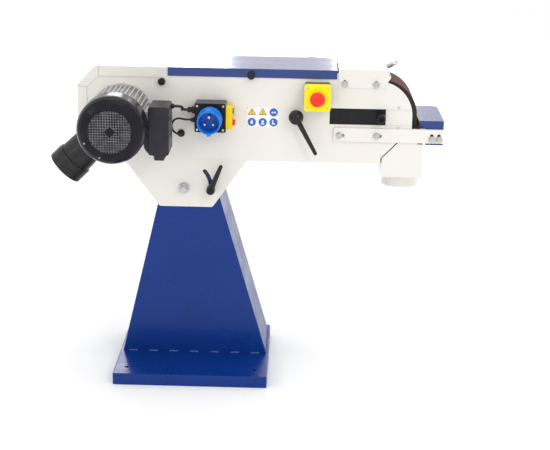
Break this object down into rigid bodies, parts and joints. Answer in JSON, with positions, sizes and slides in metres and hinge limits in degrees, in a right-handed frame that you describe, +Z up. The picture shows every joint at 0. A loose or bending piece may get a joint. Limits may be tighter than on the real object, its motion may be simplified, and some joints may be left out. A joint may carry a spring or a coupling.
{
  "type": "belt grinder",
  "caption": "Floor-standing belt grinder: long tilting housing with side motor, ribbed contact wheel, small work table and dust outlets on a tapered pedestal.",
  "frame": {"origin": "on the floor, at the centre of the base plate", "axes": "+X towards the contact wheel and table, +Y away from the motor side, +Z up"},
  "size_m": [1.0783, 0.493, 0.8584],
  "materials": {
    "stand_paint": "glossy blue stove enamel",
    "table_paint": "satin blue stove enamel",
    "lid_paint": "glossy blue stove enamel",
    "head_paint": "satin cream-white enamel",
    "zinc": "zinc-plated steel",
    "slide_steel": "blackened steel",
    "bearing_steel": "ground bearing steel",
    "stator_iron": "laminated iron with windings",
    "lever_plastic": "black moulded plastic",
    "port_plastic": "black duct plastic",
    "motor_alloy": "grey painted die-cast aluminium",
    "cover_black": "black satin plastic",
    "wheel_alloy": "machined cast aluminium",
    "wheel_rubber": "black ribbed rubber",
    "abrasive": "reddish brown abrasive grain on cloth",
    "graphite": "graphite-coated canvas",
    "platen_steel": "ground steel",
    "inlet_blue": "blue moulded plastic",
    "pin_brass": "plated contact pins",
    "switch_yellow": "amber-yellow moulded plastic",
    "estop_yellow": "bright yellow moulded plastic",
    "estop_base": "dark grey moulded plastic",
    "estop_red": "red moulded plastic",
    "start_green": "green moulded plastic",
    "lead_rubber": "black rubber sheath",
    "warning_print": "white plastic sign with pictograms"
  },
  "bodies": {
    "stand": {"base_plate": "stand_paint", "pedestal": "stand_paint", "pivot_bolt": "zinc", "pivot_nut_and_washers": "zinc", "clamp_stud": "slide_steel"},
    "clamp_lever": {"clamp_lever": "lever_plastic"},
    "head": {"front_tilt_plate": "head_paint", "rear_tilt_plate": "head_paint", "front_plate": "head_paint", "slot_cover": "head_paint", "inner_frame": "head_paint", "end_cover": "head_paint", "suction_port": "port_plastic", "hinge_leaves": "head_paint", "hinge_pins": "zinc", "abrasive_belt": "abrasive", "slide_rails": "slide_steel", "tension_spring": "zinc", "platen": "platen_steel", "platen_graphite_pad": "graphite", "dust_hood": "head_paint", "motor_frame": "motor_alloy", "motor_stator": "stator_iron", "fan_cover": "cover_black", "terminal_box": "cover_black", "switch_box": "cover_black", "mains_inlet": "inlet_blue", "mains_inlet_pins": "pin_brass", "switch_plate": "switch_yellow", "estop_base": "estop_base", "estop_cover": "estop_yellow", "motor_lead": "lead_rubber", "control_lead": "lead_rubber", "cable_glands": "lever_plastic", "warning_plate": "warning_print", "head_fasteners": "zinc"},
    "lid": {"top_lid": "lid_paint"},
    "lid_knob": {"lid_knob": "lever_plastic"},
    "end_cover_knob": {"end_cover_knob": "lever_plastic"},
    "rear_door": {"rear_door": "head_paint"},
    "door_knob": {"door_knob": "lever_plastic"},
    "drive": {"drive_wheel": "wheel_alloy", "motor_shaft": "bearing_steel", "cooling_fan": "lever_plastic"},
    "tension_slide": {"tension_slide": "slide_steel", "wheel_axle": "slide_steel"},
    "contact_wheel": {"contact_wheel_hub": "wheel_alloy", "contact_wheel_tyre": "wheel_rubber", "contact_wheel_bearings": "bearing_steel"},
    "tension_lever": {"tension_shaft": "slide_steel", "tension_lever": "lever_plastic"},
    "guard": {"belt_guard": "head_paint"},
    "spark_flap": {"spark_flap": "head_paint"},
    "wing_bolt": {"wing_bolt": "zinc"},
    "table_arm": {"table_arm": "head_paint"},
    "table": {"work_table": "table_paint", "table_bolts": "zinc"},
    "estop_button": {"estop_button": "estop_red"},
    "start_button": {"start_button": "start_green"},
    "stop_button": {"stop_button": "estop_red"}
  },
  "joints": [
    {"name": "head_tilt", "type": "hinge", "parent": "stand", "child": "head", "pos_m": [-0.0285, 0, 0.514], "axis": [0, 1, 0], "range_deg": [0, 38]},
    {"name": "clamp_lever_turn", "type": "hinge", "parent": "stand", "child": "clamp_lever", "pos_m": [0.0455, -0.05, 0.514], "axis": [0, -1, 0], "range_deg": [0, 60]},
    {"name": "lid_open", "type": "hinge", "parent": "head", "child": "lid", "pos_m": [0.15, 0.175, 0.842], "axis": [-1, 0, 0], "range_deg": [0, 105]},
    {"name": "lid_knob_turn", "type": "hinge", "parent": "lid", "child": "lid_knob", "pos_m": [0.1515, -0.036, 0.829], "axis": [0, 1, 0], "range_deg": [0, 360]},
    {"name": "end_cover_knob_turn", "type": "hinge", "parent": "head", "child": "end_cover_knob", "pos_m": [-0.0875, -0.036, 0.807], "axis": [0, 1, 0], "range_deg": [0, 360]},
    {"name": "rear_door_open", "type": "hinge", "parent": "head", "child": "rear_door", "pos_m": [-0.317, 0.174, 0.72], "axis": [0, 0, 1], "range_deg": [0, 110]},
    {"name": "door_knob_turn", "type": "hinge", "parent": "rear_door", "child": "door_knob", "pos_m": [0.44, 0.175, 0.655], "axis": [0, 1, 0], "range_deg": [0, 360]},
    {"name": "drive_spin", "type": "hinge", "parent": "head", "child": "drive", "pos_m": [-0.1925, 0, 0.722], "axis": [0, 1, 0], "continuous": true},
    {"name": "tension_slide", "type": "slide", "parent": "head", "child": "tension_slide", "axis": [1, 0, 0], "range_m": [-0.015, 0], "stiffness_N_per_m": 3000, "springref_m": 0.01, "deforming": ["tension_spring", "abrasive_belt"]},
    {"name": "contact_wheel_spin", "type": "hinge", "parent": "tension_slide", "child": "contact_wheel", "pos_m": [0.5, 0, 0.722], "axis": [0, 1, 0], "continuous": true},
    {"name": "tension_lever_turn", "type": "hinge", "parent": "head", "child": "tension_lever", "pos_m": [0.273, 0, 0.722], "axis": [0, 1, 0], "range_deg": [0, 90.5]},
    {"name": "guard_height", "type": "slide", "parent": "head", "child": "guard", "axis": [0, 0, 1], "range_m": [-0.006, 0]},
    {"name": "spark_flap_slide", "type": "slide", "parent": "guard", "child": "spark_flap", "axis": [0.4307, 0, -0.9025], "range_m": [0, 0.006]},
    {"name": "wing_bolt_turn", "type": "hinge", "parent": "guard", "child": "wing_bolt", "pos_m": [0.51822, 0.068, 0.843], "axis": [0.9025, 0, 0.4307], "range_deg": [0, 360]},
    {"name": "table_arm_slide", "type": "slide", "parent": "head", "child": "table_arm", "axis": [1, 0, 0], "range_m": [-0.004, 0]},
    {"name": "table_height", "type": "slide", "parent": "table_arm", "child": "table", "axis": [0, 0, 1], "range_m": [0, 0.01]},
    {"name": "estop_push", "type": "slide", "parent": "head", "child": "estop_button", "axis": [0, 1, 0], "range_m": [0, 0.004], "stiffness_N_per_m": 800},
    {"name": "start_push", "type": "slide", "parent": "head", "child": "start_button", "axis": [-1, 0, 0], "range_m": [0, 0.003], "stiffness_N_per_m": 400},
    {"name": "stop_push", "type": "slide", "parent": "head", "child": "stop_button", "axis": [-1, 0, 0], "range_m": [0, 0.003], "stiffness_N_per_m": 400}
  ],
  "couplings": [
    {"joint": "contact_wheel_spin", "follows": "drive_spin", "ratio": 1},
    {"joint": "tension_lever_turn", "follows": "tension_slide", "rad_per_m": -104.72}
  ]
}
